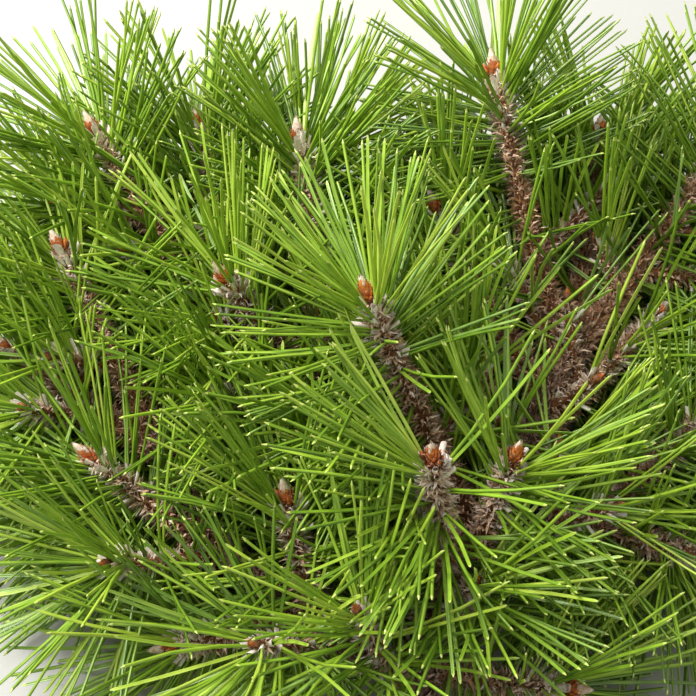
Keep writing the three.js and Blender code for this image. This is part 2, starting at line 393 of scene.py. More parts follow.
# Shoots. Each is this or last year's growth out of a limb: a young stem that sets out low, turns
# up to its bud, and is ribbed by the bases of its bracts. The bark is thin and chestnut brown.
SHOOTS = {  # the limb, the share of it that the shoot stands at, and its bud's place
    "centre_shoot": ("main_stem", 0.52, (7, -49, 135)),
    "front_shoot": ("main_stem", 0.38, (34, -118, 120)),
    "front_side_shoot": ("main_stem", 0.46, (71, -105, 95)),
    "upper_shoot": ("main_stem", 0.95, (68, 87, 118)),
    "leader_shoot": ("main_stem", 1, (127, 94, 62)),
    "upper_right_shoot": ("main_stem", 0.97, (189, 68, 105)),
    "upper_inner_shoot": ("main_stem", 0.86, (41, 40, 72)),
    "top_centre_shoot": ("middle_bough", 0.55, (-24, 65, 95)),
    "middle_left_shoot": ("middle_bough", 0.62, (-57, -17, 98)),
    "top_left_shoot": ("middle_bough", 1, (-124, 73, 90)),
    "top_inner_shoot": ("middle_bough", 0.95, (-75, 91, 72)),
    "inner_left_shoot": ("left_bough", 0.3, (-27, -115, 78)),
    "lower_left_shoot": ("left_bough", 0.62, (-116, -93, 70)),
    "far_left_shoot": ("left_bough", 1, (-135, 8, 85)),
    "left_edge_shoot": ("left_bough", 0.95, (-162, -30, 56)),
    "left_low_shoot": ("left_bough", 0.36, (-80, -172, 40)),
    "right_shoot": ("right_bough", 1, (170, -62, 66)),
    "lower_right_shoot": ("right_bough", 0.92, (168, -138, 56)),
    "right_low_shoot": ("main_stem", 0.24, (98, -190, 40)),
    "behind_right_shoot": ("main_stem", 0.74, (148, -12, 58)),
}
SHOOT_SAG = 0.12  # how much lower its middle lies, as a share of its length
SHOOT_RADII = (4.2, 3.0)
TWIG_EVERY = 13.0  # between the places where a finer twig may start
TWIG_LENGTHS = (42.0, 82.0)
TWIG_SIZE = 0.72  # a twig's thickness and bud, as a share of a shoot's
TWIG_ROOM = 25.0  # the least distance between its bud and any other
TWIG_TO = 0.65  # the share of a shoot, from its foot, that twigs grow on
TWIG_FORWARD = 0.5  # how much a twig leans along its limb, beside outward
TWIG_RISE = (0.1, 0.5)  # and upward
TWIG_LOWEST, TWIG_HIGHEST = 20.0, 74.0
TWIG_SEED = 311
SHOOT_SIDES = 10
SHOOT_STEP = 2.0
RIB_RISE = 0.35
RIB_ROUND = 0.8  # the ribs are spaced as on a stem of this share of the foot's radius
YOUNG_BARK_PATCH = 3.0
BUD_LENGTH = 14.0
SIDEWAYS = np.array([1.0, 0.0, 0.0])
GOLDEN_ANGLE = math.pi * (3 - math.sqrt(5))

# Young bark: thin and fairly matt, mottled from dark brown to orange brown.
# Its dark brown is partly painted shade: darker than its own chestnut, for the gaps between bract
# scales.
young_bark_shaded = mottled("chestnut_young_bark_painted_shade", 0.66, YOUNG_BARK_PATCH, 0x4E2C18, 0x9A6034)


def shoot_path(foot, bud, steps=200):
    """The source's curve: three points, the middle one lowered by the shoot's sag."""
    middle = (foot + bud) / 2
    middle[2] -= SHOOT_SAG * np.linalg.norm(bud - foot)
    t = np.linspace(0, 1, steps)[:, None]
    return even_steps((1 - t) ** 2 * foot + 2 * t * (1 - t) * middle + t**2 * bud)


def gather(parts):
    """Several (points, faces) as one, with the faces' numbers moved up."""
    points, faces, offset = [], [], 0
    for part_points, part_faces in parts:
        points.append(part_points)
        faces.extend([offset + number for number in face] for face in part_faces)
        offset += len(part_points)
    return np.concatenate(points), faces


shoots = [
    (shoot_path(at(limb_paths[limb], share), np.array(bud, float)), 1.0)
    for limb, share, bud in SHOOTS.values()
]
# Finer twigs fill the room between the shoots: round every limb, and round the lower part of
# every shoot, in a golden-angle spiral.
twig_random = np.random.default_rng(TWIG_SEED)
lower_parts = [even_steps(path[: round(len(path) * TWIG_TO)]) for path, _ in shoots]
for path in [*limb_paths.values(), *lower_parts]:
    stations = round(length_of(path) / TWIG_EVERY)
    for number in range(2, stations):
        foot = at(path, number / stations)
        axis = heading(path, number / stations)
        outward = round_about(axis, UP, number * GOLDEN_ANGLE)
        toward = unit(axis * TWIG_FORWARD + outward + UP * twig_random.uniform(*TWIG_RISE))
        bud = foot + toward * twig_random.uniform(*TWIG_LENGTHS)
        bud[2] = np.clip(bud[2], TWIG_LOWEST, TWIG_HIGHEST)
        if min(np.linalg.norm(other[-1] - bud) for other, _ in shoots) > TWIG_ROOM:
            shoots.append((shoot_path(foot, bud), TWIG_SIZE))

stems = []
for path, size in shoots:
    share = np.linspace(0, 1, round(length_of(path) / SHOOT_STEP))
    girth = taper(SHOOT_RADII, share) * size
    turn = all_round(SHOOT_SIDES)
    rib = cushions(share[:, None] * length_of(path), turn[None, :], SHOOT_RADII[0] * RIB_ROUND)
    radius = girth[:, None] + RIB_RISE * (rib - 1)
    axis = heading(path, share)[:, None, :]
    outward = round_about(axis, SIDEWAYS, np.broadcast_to(turn, radius.shape))
    rings = at(path, share)[:, None, :] + outward * radius[..., None]
    stems.append(sleeve(rings, path[[0, -1]]))
piece = piece_from("shoot_stems", *gather(stems), young_bark_shaded)
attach(piece, "root")
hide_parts(*SHOOTS)


# Bract scales. A dry brown scale stands under every bundle of needles and stays for years
# after the needles fall. Each is a thin strip rooted in the bark, and is curled outwards.
BRACT_LENGTH = 6.2
BRACT_WIDTH = 1.1
BRACT_SPREAD = 0.3  # of lengths and widths
BRACT_TWIST = 0.9  # how far its face strays from facing the stem
BRACT_TURN = 0.5  # how far its place strays round the stem, in radians
FIRST_BRACT = 0.02  # where the lowest scale stands, as a share of the shoot
BRACT_SPACING = 0.075  # along a shoot
BRACT_AREA = 2.6  # square millimetres of limb to one scale
OLD_BRACT_LENGTH = 5.4  # on the limbs
BRACT_LEAN = (math.radians(25), math.radians(75))
BRACT_SIZES = (0.6, 1.1)  # smallest and largest, as shares of the full length
BRACT_TAPER = 0.3  # how much larger the scales at a shoot's foot are
BRACT_SUNK = 0.3  # how deep its foot sits in the bark
OLD_BRACT_SUNK = 0.8  # the same on the limbs, as their bark has thickened
BRACT_AGEING = 90.0  # this far below the bud a scale is one step older
AGE_SPREAD = 0.4
OLD_BRACT_AGE, OLD_AGE_SPREAD = 2, 0.5  # the same on the limbs
BRACT_GROUND = 2.5  # scales nearer the ground are rubbed off
BARE_STEM, FULL_STEM = 0.25, 1.1  # the share left at the main stem's foot, and more above
BRACTS_UPWARD = 0.8  # below 1 a limb's scales are denser toward its tip
BRACT_SEED = 73


def blade(name, line, widths, cup=0.0):
    """A thin blade of length 1 along Z: its line is (y, z) points, and its middle is cupped."""
    rows = [[(-w / 2, y, z), (0, y - cup * w, z), (w / 2, y, z)] for (y, z), w in zip(line, widths)]
    if not cup:
        rows = [[row[0], row[2]] for row in rows]
    wide = len(rows[0])
    faces = [
        (r * wide + c, r * wide + c + 1, (r + 1) * wide + c + 1, (r + 1) * wide + c)
        for r in range(len(rows) - 1)
        for c in range(wide - 1)
    ]
    points = [point for row in rows for point in row]
    return bpy.data.objects.new(name, make_mesh(name, points, faces=faces))


def add_sockets(tree, **kinds):
    """A tree's geometry goes in and out, with the named inputs after it."""
    tree.interface.new_socket("Geometry", in_out="INPUT", socket_type="NodeSocketGeometry")
    for name, kind in kinds.items():
        tree.interface.new_socket(name, in_out="INPUT", socket_type="NodeSocket" + kind)
    tree.interface.new_socket("Geometry", in_out="OUTPUT", socket_type="NodeSocketGeometry")
    return add_node(tree, "NodeGroupInput").outputs


def close_tree(tree, geometry, finish):
    """Every tree ends in real meshes with their material."""
    real = add_node(tree, "GeometryNodeRealizeInstances", {"Geometry": geometry})
    done = {"Geometry": real.outputs["Geometry"], "Material": finish}
    done = add_node(tree, "GeometryNodeSetMaterial", done)
    add_node(tree, "NodeGroupOutput", {"Geometry": done.outputs["Geometry"]})


def field(tree, name, kind="FLOAT_VECTOR"):
    """The value that each point or line carries under a name."""
    named = add_node(tree, "GeometryNodeInputNamedAttribute", {"Name": name}, data_type=kind)
    return named.outputs["Attribute"]


# The tree that sets one small shape on every seed point: Z along the seed's stand, Y away
# from the stem, and a random share off its length and width.
planting = bpy.data.node_groups.new("planting", "GeometryNodeTree")
given = add_sockets(
    planting, Shape="Object", Size="Vector", Spread="Float", Seed="Int", Finish="Material"
)
shape = add_node(planting, "GeometryNodeObjectInfo", {"Object": given["Shape"]}).outputs["Geometry"]
align = "FunctionNodeAlignRotationToVector"
upright = {"Vector": field(planting, "stand")}
upright = add_node(planting, align, upright, axis="Z").outputs[0]
facing = {"Rotation": upright, "Vector": field(planting, "away")}
facing = add_node(planting, align, facing, axis="Y", pivot_axis="Z").outputs[0]
most = maths(planting, "ADD", 1.0, given["Spread"])
least = maths(planting, "SUBTRACT", 1.0, given["Spread"])
vary = {0: least, 1: most, 8: given["Seed"]}
vary = add_node(planting, "FunctionNodeRandomValue", vary, data_type="FLOAT_VECTOR")
size = {0: given["Size"], 1: vary.outputs["Value"]}
size = add_node(planting, "ShaderNodeVectorMath", size, operation="MULTIPLY").outputs[0]
size = {0: size, "Scale": field(planting, "growth", "FLOAT")}
size = add_node(planting, "ShaderNodeVectorMath", size, operation="SCALE").outputs[0]
planted = {"Points": given["Geometry"], "Instance": shape, "Rotation": facing, "Scale": size}
planted = add_node(planting, "GeometryNodeInstanceOnPoints", planted).outputs["Instances"]
close_tree(planting, planted, given["Finish"])


def seeds(name, points, lines=(), **fields):
    """A mesh of bare points or lines, with values on the points for a tree to read."""
    mesh = make_mesh(name, ((points + shift) * MM).tolist(), lines)
    for field_name, values in fields.items():
        carry(mesh, field_name, values)
    return add_object(name + "_seeds", mesh)


def grow(name, tree, source, slot, smooth=True, **inputs):
    """Runs a tree on its seeds and keeps the result as a plain piece that rides on the bough."""
    modifier = source.modifiers.new("growth", "NODES")
    modifier.node_group = tree
    for socket in tree.interface.items_tree:
        if socket.in_out == "INPUT" and socket.name in inputs:
            modifier[socket.identifier] = inputs[socket.name]
    graph = bpy.context.evaluated_depsgraph_get()
    mesh = bpy.data.meshes.new_from_object(source.evaluated_get(graph))
    bpy.data.objects.remove(source)
    if smooth:
        mesh.shade_smooth()
    mesh.name = name
    piece = add_object(name, mesh)
    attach(piece, "root")
    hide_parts(*SHOOTS)


def plant(name, shape, places, chosen, slot, finish, size, spread, seed):
    """One piece: a copy of the shape at each chosen place, of about the size in millimetres."""
    picked = {key: values[chosen] for key, values in places.items()}
    source = seeds(name, picked.pop("root"), **picked)
    size = tuple(side * MM for side in size)
    inputs = {"Shape": shape, "Size": size, "Spread": spread, "Seed": seed, "Finish": finish}
    grow(name, planting, source, slot, **inputs)


def join(places):
    return {key: np.concatenate(parts) for key, parts in places.items()}


def deal(kinds, values, allowed=True):
    """For each kind its name, which places have a value between its first two, and the rest."""
    for name, (low, high, *rest) in kinds.items():
        yield name, allowed & (values >= low) & (values < high), rest


# Dry scale: dead papery tissue, so it is quite matt, and mottled where the weather has
# bleached it. Bracts, sheaths and the scales of buds are all of it, in their own colours.
def dry_material(name, dark, light, roughness=0.78, patch=2.0):
    return mottled(name, roughness, patch, dark, light)


bract_random = np.random.default_rng(BRACT_SEED)
bract_line = [(0.0, 0.0), (0.1, 0.44), (0.46, 0.68)]
bract = blade("bract", bract_line, [1.4, 1.0, 0.1])
bracts = {"root": [], "stand": [], "away": [], "growth": [], "age": []}


def set_bracts(path, share, outward, girth, growth):
    """Scales at shares of a path, on the side that outward gives, girth away from its line."""
    axis = heading(path, share)
    lean = bract_random.uniform(*BRACT_LEAN, len(share))[:, None]
    bracts["root"].append(at(path, share) + outward * girth[:, None])
    bracts["stand"].append(axis * np.cos(lean) + outward * np.sin(lean))
    bracts["away"].append(outward + bract_random.normal(0, BRACT_TWIST, outward.shape))
    bracts["growth"].append(bract_random.uniform(*BRACT_SIZES, len(share)) * growth)


for path, size in shoots:
    length = length_of(path)
    count = round((length - BUD_LENGTH / 2) * size**3 / BRACT_SPACING)
    share = np.linspace(FIRST_BRACT, 1 - size * BUD_LENGTH / 2 / length, count)
    turn = np.arange(count) * GOLDEN_ANGLE + bract_random.uniform(-BRACT_TURN, BRACT_TURN, count)
    outward = round_about(heading(path, share), SIDEWAYS, turn)
    growth = (1 + BRACT_TAPER - BRACT_TAPER * share) * size**0.5
    set_bracts(path, share, outward, taper(SHOOT_RADII, share) * size - BRACT_SUNK, growth)
    age = (1 - share) * length / BRACT_AGEING
    bracts["age"].append(age + bract_random.normal(0, AGE_SPREAD, count))
for name, path in limb_paths.items():
    radii = LIMBS[name]["radii"]
    count = round(math.pi * sum(radii) * length_of(path) / BRACT_AREA)
    share = bract_random.uniform(0, 1, count) ** BRACTS_UPWARD
    if name == "main_stem":
        share = share[bract_random.uniform(0, 1, count) < BARE_STEM + FULL_STEM * share]
    turn = bract_random.uniform(0, 2 * math.pi, len(share))
    outward = round_about(heading(path, share), UP, turn)
    growth = OLD_BRACT_LENGTH / BRACT_LENGTH
    set_bracts(path, share, outward, taper(radii, share) - OLD_BRACT_SUNK, growth)
    bracts["age"].append(OLD_BRACT_AGE + bract_random.normal(0, OLD_AGE_SPREAD, len(share)))
bracts = join(bracts)
ages = bracts.pop("age")
tips = bracts["root"] + bracts["stand"] * (bracts["growth"] * BRACT_LENGTH)[:, None]
clear = np.minimum(bracts["root"][:, 2], tips[:, 2]) > BRACT_GROUND

BRACT_AGES = {  # the youngest and the oldest, and the colours
    "bracts_silvery": (-math.inf, 0.1, 0xC8B4A0, 0xFCEEDE),
    "bracts_tan": (0.1, 0.7, 0xA2745A, 0xFFE4C8),
    "bracts_chestnut": (0.7, 1.5, 0x845438, 0xF8CEA4),
    "bracts_weathered": (1.5, math.inf, 0xA67E68, 0xFCDEC6),
}
size = (BRACT_WIDTH, BRACT_LENGTH, BRACT_LENGTH)
for number, (name, chosen, colours) in enumerate(deal(BRACT_AGES, ages, clear)):
    finish = dry_material("dry_" + name, *colours)
    plant(name, bract, bracts, chosen, "bark", finish, size, BRACT_SPREAD, number)


# Needles. They stand in bundles of two, set round each shoot in a golden-angle spiral, and are
# stiff, half round with a shallow channel inside, waxy, and end in a short pale point.
NEEDLE_LENGTH = 72.0
NEEDLE_WIDTH = 1.65
NEEDLE_THICKNESS = 1.1
NEEDLE_CHANNEL = 0.35
BUNDLE_SPACING = 0.47
PAIR_ANGLE = math.radians(9)
PAIR_GAP = 0.6  # between the feet of a pair, in needle widths
SHORTEST = 0.82  # the lowest needles, as a share of the full length
LENGTH_JITTER = 0.06
NEEDLE_SEED = 638
BARE_FOOT = 0.14  # the share of a shoot, from its foot, that bears no needles
BARE_BUD = 0.6  # from the highest needles to the tip, in bud lengths
TIP_CROWDING = 1.3  # above 1 they stand closer toward the bud
LEAN_BUD = math.radians(26)
LEAN_OPEN = math.radians(90)
OPENING = 19.0  # this far below the bud they lean most of the way out
LEAN_JITTER = math.radians(12)
TURN_JITTER = math.radians(22)
BOW = 0.05  # the most that a needle strays from straight, as a share of it
PAIR_BOW = 0.035  # how far a pair bends apart, as a share of its length
SHEATHED = 0.6  # how deep a bundle's foot sits in the stem
TIP_SHARE = 0.972  # where the pale point begins
NEEDLE_GIRTHS = {0.0: 0.85, 0.3: 1.0, 0.65: 0.98, TIP_SHARE: 0.84}  # at shares of the length
TIP_GIRTHS = {TIP_SHARE: 0.84, 1.0: 0.25}
TONE_YOUNG, TONE_SPREAD = 0.28, 0.2  # a bundle's place among the tones, by the bud
TONE_AGEING = 0.5  # and how much further an old one is
DARKENING = 45.0  # this far below the bud they are well on the way to dark green
NEEDLE_PATCH = 9.0
LIGHT_FROM = np.array([0.0, -392.0, 679.0])  # the open side, that light came from
WORN_FROM, WORN_TO = 0.5, 0.95  # how nearly worn needles point at the light
WORN = 0.86  # the share that are gone where they point at the light
YOUNG_WEAR, YOUNG_REACH = 0.5, 5.0  # wear is less by so much at the bud, and so far below it
SHADED = 0.72  # the share that are gone where they cross the light's way to a stem
SHADE_REACH = 50.0  # how far above a stem the light's way is kept open
BARE_SHADED, OPEN_REACH = 0.95, 150.0  # the same for bare stems, buds and the knuckle
SHOOT_CLEARING = 4.5  # how wide the light's way to a stem is, to either side
BARE_STEMS = {"centre_shoot": 4.5, "upper_shoot": 6.5, "upper_right_shoot": 7.0}
BUD_CLEARING = 3.0
KNUCKLE_CLEARING = 24.0
CLEARED_POINTS = slice(40, None, 20)  # points of a shoot's path that light falls on
KNUCKLE_POINT = -20  # the point of the stem's path amid its knuckle
LIMB_PIECES, SHOOT_PIECES = 12, 6  # straight pieces to test needles against
PARALLEL = 1e-9  # keeps parallel lines from a division by nothing
PRESSED = 0.7  # a needle that the ground leaves shorter than this share is gone
GROUND_GAP = 1.3  # the least height of a needle's middle, in thicknesses

# The tree that turns lines into needles: each line carries its girth and its flat side.
growing = bpy.data.node_groups.new("growing", "GeometryNodeTree")
given = add_sockets(growing, Width="Float", Thickness="Float", Channel="Float", Finish="Material")
# Its section is a circle whose back keeps the thickness and whose front is pressed in.
circle = {"Resolution": 6, "Radius": 1.0}
circle = add_node(growing, "GeometryNodeCurvePrimitiveCircle", circle).outputs["Curve"]
place = add_node(growing, "GeometryNodeInputPosition").outputs[0]
place = add_node(growing, "ShaderNodeSeparateXYZ", {0: place}).outputs
half_width = maths(growing, "MULTIPLY", given["Width"], 0.5)
across = maths(growing, "MULTIPLY", place["X"], half_width)
front = maths(growing, "MAXIMUM", place["Y"], 0.0)
front = maths(growing, "MULTIPLY", front, given["Channel"])
back = maths(growing, "MINIMUM", place["Y"], 0.0)
back = maths(growing, "MULTIPLY", back, given["Thickness"])
corner = {"X": across, "Y": maths(growing, "SUBTRACT", back, front)}
corner = add_node(growing, "ShaderNodeCombineXYZ", corner).outputs[0]
section = {"Geometry": circle, "Position": corner}
section = add_node(growing, "GeometryNodeSetPosition", section).outputs["Geometry"]
lines = {"Mesh": given["Geometry"]}
lines = add_node(growing, "GeometryNodeMeshToCurve", lines).outputs["Curve"]
lines = {"Curve": lines, "Normal": field(growing, "flat_side")}
lines = add_node(growing, "GeometryNodeSetCurveNormal", lines, mode="FREE").outputs["Curve"]
needle = {"Curve": lines, "Profile Curve": section, "Scale": field(growing, "girth", "FLOAT")}
needle = add_node(growing, "GeometryNodeCurveToMesh", needle).outputs["Mesh"]
close_tree(growing, needle, given["Finish"])


def bundles(path, size, number):
    """The source's growth rule for one shoot: root, heart, across and length of each bundle."""
    random = np.random.default_rng((NEEDLE_SEED, number))
    length = length_of(path)
    top = 1 - BARE_BUD * size * BUD_LENGTH / length
    count = round(length * (1 - BARE_FOOT) / BUNDLE_SPACING)
    climb = (np.arange(count) + 0.5) / count
    share = BARE_FOOT + (top - BARE_FOOT) * (1 - (1 - climb) ** TIP_CROWDING)
    below = length * (top - share)
    axis = heading(path, share)
    turn = np.arange(count) * GOLDEN_ANGLE + random.uniform(-TURN_JITTER, TURN_JITTER, count)
    outward = round_about(axis, SIDEWAYS, turn)
    lean = LEAN_OPEN + (LEAN_BUD - LEAN_OPEN) * np.exp(-below / OPENING)
    lean = (lean + random.uniform(-LEAN_JITTER, LEAN_JITTER, count))[:, None]
    longest = NEEDLE_LENGTH * (SHORTEST + (1 - SHORTEST) * climb)
    longest = longest * (1 + random.uniform(-LENGTH_JITTER, LENGTH_JITTER, count))
    girth = taper(SHOOT_RADII, share) * size - SHEATHED
    return {
        "root": at(path, share) + outward * girth[:, None],
        "heart": axis * np.cos(lean) + outward * np.sin(lean),
        "across": np.cross(axis, outward),
        "length": longest,
        "below": below,
        "wear": random.uniform(0, 1, count),
        "luck": random.uniform(0, 1, count),
    }


grown = [bundles(path, size, number) for number, (path, size) in enumerate(shoots)]
owner = np.repeat(np.arange(len(grown)), [len(part["length"]) for part in grown])
bundle = join({key: [part[key] for part in grown] for key in grown[0]})


def gap_between(start, end, other_start, other_end):
    """The shortest distance from each straight needle to one straight piece of wood."""
    u, v, w = end - start, other_end - other_start, start - other_start
    uu, uv, vv = (u * u).sum(1), u @ v, v @ v
    uw, vw = (u * w).sum(1), w @ v
    spread = np.maximum(uu * vv - uv**2, PARALLEL)
    s = np.clip((uv * vw - vv * uw) / spread, 0, 1)
    t = np.clip((uv * s + vw) / vv, 0, 1)
    s = np.clip((uv * t - uw) / uu, 0, 1)
    return np.linalg.norm(w + u * s[:, None] - v * t[:, None], axis=1)


# Each bundle's two needles as start and end. One that would go under the ground rests on it.
half_pair = PAIR_ANGLE / 2
sides_of_pair = []
for side in (-1, 1):
    start = bundle["root"] + bundle["across"] * side * NEEDLE_WIDTH * (PAIR_GAP / 2)
    reach = bundle["length"][:, None]
    end = start + bundle["heart"] * reach * math.cos(half_pair)
    end = end + bundle["across"] * side * reach * math.sin(half_pair)
    end[:, 2] = np.maximum(end[:, 2], NEEDLE_THICKNESS)
    sides_of_pair.append((start, end, side))

# A bundle is left out if one of its needles would touch a limb or another shoot's stem.
blocked = np.zeros(len(owner), bool)
wood = [(-1, path, LIMBS[name]["radii"], LIMB_PIECES) for name, path in limb_paths.items()]
for number, (path, size) in enumerate(shoots):
    wood.append((number, path, [radius * size for radius in SHOOT_RADII], SHOOT_PIECES))
for number, path, radii, count in wood:
    stops = at(path, np.linspace(0, 1, count + 1))
    for k in range(count):
        room = taper(radii, k / count) + NEEDLE_WIDTH / 2
        for start, end, _ in sides_of_pair:
            gap = gap_between(start, end, stops[k], stops[k + 1])
            blocked |= (gap < room) & (owner != number)
for start, end, _ in sides_of_pair:
    blocked |= np.linalg.norm(end - start, axis=1) < PRESSED * bundle["length"]
    outside = ((end + shift) * MM < np.array(cad_low)) | ((end + shift) * MM > np.array(cad_high))
    blocked |= outside.any(axis=1)
to_light = unit(LIGHT_FROM - bundle["root"])
lit = (np.sum(bundle["heart"] * to_light, axis=1) - WORN_FROM) / (WORN_TO - WORN_FROM)
age = 1 - YOUNG_WEAR * np.exp(-bundle["below"] / YOUNG_REACH)
worn = bundle["wear"] < WORN * np.clip(lit, 0, 1) * age

# The ways that light comes in by. Each is a spot, how wide and how long the way is, the share
# of needles across it that are gone, and the shoot whose own needles it spares.
knuckle = limb_paths["main_stem"][KNUCKLE_POINT]
clearings = [(knuckle, KNUCKLE_CLEARING, OPEN_REACH, BARE_SHADED, -1)]
for number, (name, (path, _)) in enumerate(zip(SHOOTS, shoots)):
    way = (SHOOT_CLEARING, SHADE_REACH, SHADED)
    if name in BARE_STEMS:
        way = (BARE_STEMS[name], OPEN_REACH, BARE_SHADED)
    clearings += [(spot, *way, number) for spot in path[CLEARED_POINTS]]
    clearings.append((path[-1], BUD_CLEARING, OPEN_REACH, BARE_SHADED, -1))
lost = np.zeros(len(owner))
for spot, radius, reach, share, number in clearings:
    for start, end, _ in sides_of_pair:
        gap = gap_between(start, end, spot, spot + unit(LIGHT_FROM - spot) * reach)
        lost = np.where((gap < radius) & (owner != number), np.maximum(lost, share), lost)
kept = ~blocked & ~worn & (bundle["luck"] >= lost)

# Colours of needles, dealt out by bundle: the youngest, near the bud, are the brightest.
NEEDLE_TONES = {
    "needles_fresh": (-math.inf, 0.12, 0xC0D650, 0xA6C234),
    "needles_bright": (0.12, 0.32, 0xA9C73A, 0x8CB026),
    "needles_green": (0.32, 0.58, 0x92B52E, 0x769B20),
    "needles_deep": (0.58, 0.85, 0x77981E, 0x5B7F14),
    "needles_bluish": (0.85, math.inf, 0x95B656, 0x719438),
}
needle_random = np.random.default_rng(NEEDLE_SEED)
tone_value = needle_random.normal(TONE_YOUNG, TONE_SPREAD, len(owner))
tone_value += TONE_AGEING * (1 - np.exp(-bundle["below"] / DARKENING))
bends = needle_random.uniform(-BOW, BOW, (2, len(owner), 3))


# Needle: a waxy cuticle over green tissue, so a soft gloss on a slightly mottled colour.
def needle_material(name, light, dark, roughness=0.4):
    wax = {"detail": 1.0, "Specular_IOR_Level": 0.85}
    return mottled(name, roughness, NEEDLE_PATCH, dark, light, **wax)


def needle_seeds(name, chosen, girths):
    """Lines for the chosen bundles' needles, bowed so that the two part slowly."""
    points, flats = [], []
    t = np.array(list(girths))[None, :, None]
    for (start, end, side), bend in zip(sides_of_pair, bends):
        start, end, bend = start[chosen], end[chosen], bend[chosen]
        reach = bundle["length"][chosen][:, None]
        middle = (start + end) / 2 - bundle["across"][chosen] * side * reach * PAIR_BOW + bend * reach
        middle[:, 2] = np.maximum(middle[:, 2], NEEDLE_THICKNESS * GROUND_GAP)
        start, middle, end = start[:, None], middle[:, None], end[:, None]
        line = (1 - t) ** 2 * start + 2 * t * (1 - t) * middle + t**2 * end
        flat = np.repeat(-side * bundle["across"][chosen][:, None], len(girths), axis=1)
        points.append(line.reshape(-1, 3))
        flats.append(flat.reshape(-1, 3))
    points, flats = np.concatenate(points), np.concatenate(flats)
    first = np.arange(0, len(points), len(girths))
    steps = range(len(girths) - 1)
    edges = np.concatenate([np.stack([first + k, first + k + 1], axis=1) for k in steps])
    girth = np.tile(list(girths.values()), len(first))
    return seeds(name, points, edges.tolist(), flat_side=flats, girth=girth)


sizes = {
    "Width": NEEDLE_WIDTH * MM,
    "Thickness": NEEDLE_THICKNESS * MM,
    "Channel": NEEDLE_CHANNEL * MM,
}
for name, chosen, colours in deal(NEEDLE_TONES, tone_value, kept):
    source = needle_seeds(name, chosen, NEEDLE_GIRTHS)
    finish = needle_material("waxy_" + name, *colours)
    grow(name, growing, source, "needles", smooth=False, Finish=finish, **sizes)
source = needle_seeds("needle_tips", kept, TIP_GIRTHS)
finish = needle_material("horny_needle_tip", 0xD0DA70, 0xB4C658, roughness=0.5)
grow("needle_tips", growing, source, "needles", Finish=finish, **sizes)


# Sheaths. A papery sleeve holds the feet of each pair of needles. It is silvery white when
# young, and shrinks and turns grey brown with age. It is the bundle's own skin, left standing.
SHEATH_SIDES = 6
SHEATH_WIDTHS = {0.0: 0.8, 0.55: 1.0, 0.8: 0.95}  # at shares of the length
SHEATH_TORN = (-0.2, 0.3)  # how far its torn mouth reaches down and up
SHEATH_FLAT = 0.7  # its thickness, as a share of its width
SHEATH_SPREAD = 0.2  # of lengths and widths
SHEATH_AGE_SPREAD = 6.0  # how far along a stem their ages are mixed
SHEATH_SEED, SHEATH_SIZE_SEED = 19, 7
NEW_SHEATH = 11.0  # nearer the bud than this they are still long and white
YOUNG_SHEATH = 34.0  # and nearer than this, silvery
LONE_SHEATH = 7.0  # nearer than this, some stay on without their needles
LONE_SHARE = 0.6
SHEATH_AGES = {  # nearest and furthest below the bud, width, length and the colours
    "sheaths_white": (-math.inf, NEW_SHEATH, 2.7, 9.0, 0xECD6C6, 0xFFF8F0),
    "sheaths_silvery": (NEW_SHEATH, YOUNG_SHEATH, 2.7, 7.5, 0xAE9E8C, 0xE2D6C6),
    "sheaths_weathered": (YOUNG_SHEATH, math.inf, 2.3, 5.0, 0x7A624C, 0xBFA98C),
}

# One sheath: a sleeve of length 1 that is open at both ends.
sheath_random = np.random.default_rng(SHEATH_SEED)
turn = all_round(SHEATH_SIDES)
rings = []
for height, width in SHEATH_WIDTHS.items():
    torn = sheath_random.uniform(*SHEATH_TORN, SHEATH_SIDES) * (height == max(SHEATH_WIDTHS))
    ring = [np.cos(turn) * width / 2, np.sin(turn) * width / 2 * SHEATH_FLAT, height + torn]
    rings.append(np.stack(ring, axis=1))
points, faces = sleeve(np.stack(rings), np.empty((0, 3)))
mesh = make_mesh("sheath", points.tolist(), faces=faces[: -2 * SHEATH_SIDES])
sheath = bpy.data.objects.new("sheath", mesh)

sheath_age = bundle["below"] + sheath_random.normal(0, SHEATH_AGE_SPREAD, len(owner))
lone = ~blocked & (owner < len(SHOOTS)) & (bundle["below"] < LONE_SHEATH)
sheathed = kept | (lone & (bundle["luck"] < LONE_SHARE))
sheaths = {
    "root": bundle["root"],
    "stand": bundle["heart"],
    "away": np.cross(bundle["heart"], bundle["across"]),
    "growth": np.ones(len(owner)),
}
for name, chosen, (width, length, *colours) in deal(SHEATH_AGES, sheath_age, sheathed):
    finish = dry_material("papery_" + name, *colours)
    size = (width, width, length)
    plant(name, sheath, sheaths, chosen, "needles", finish, size, SHEATH_SPREAD, SHEATH_SIZE_SEED)


# Buds. One stands at each shoot's tip with two small ones at its foot: resinous orange-brown
# scales that overlap like tiles, with white fringed edges, round a pointed heart.
BUD_RADIUS = 2.7
BUD_LOW = 0.58  # below 1 a bud is widest under its middle
BUD_DRAWN = 1.1  # above 1 its foot and its tip are drawn in
BUD_FOOT = 0.02  # where its lowest ring and scales are, as a share of its length
HEART = 0.86  # the heart under the scales, as a share of the bud
HEART_TOP, HEART_RINGS = 0.8, 8
BUD_SIDES = 10
SIDE_BUD, TWIG_BUD = 0.55, 0.55  # the sizes of side and twig buds, as shares of the main
TWIG_DULL = 0.62  # small buds are this much closer to the brown of their feet
OPEN_BUDS = 3  # the first shoots' buds have shed most of their pale fringes
FRINGED = 0.3  # the others' are this much closer to the pale of their points
SIDE_BUD_TURN = 2.4  # radians between the two side buds
SIDE_BUD_LEAN = 0.45  # how far a side bud leans outward
SIDE_BUD_OUT = 2.2  # how far its foot stands from the shoot's own line
BUD_SCALES, SMALL_BUD_SCALES = 60, 26
SCALED = 0.8  # the share of a bud that the feet of scales stand on
SCALE_LENGTH, SCALE_WIDTH, SCALE_SPREAD = 3.8, 2.1, 0.12
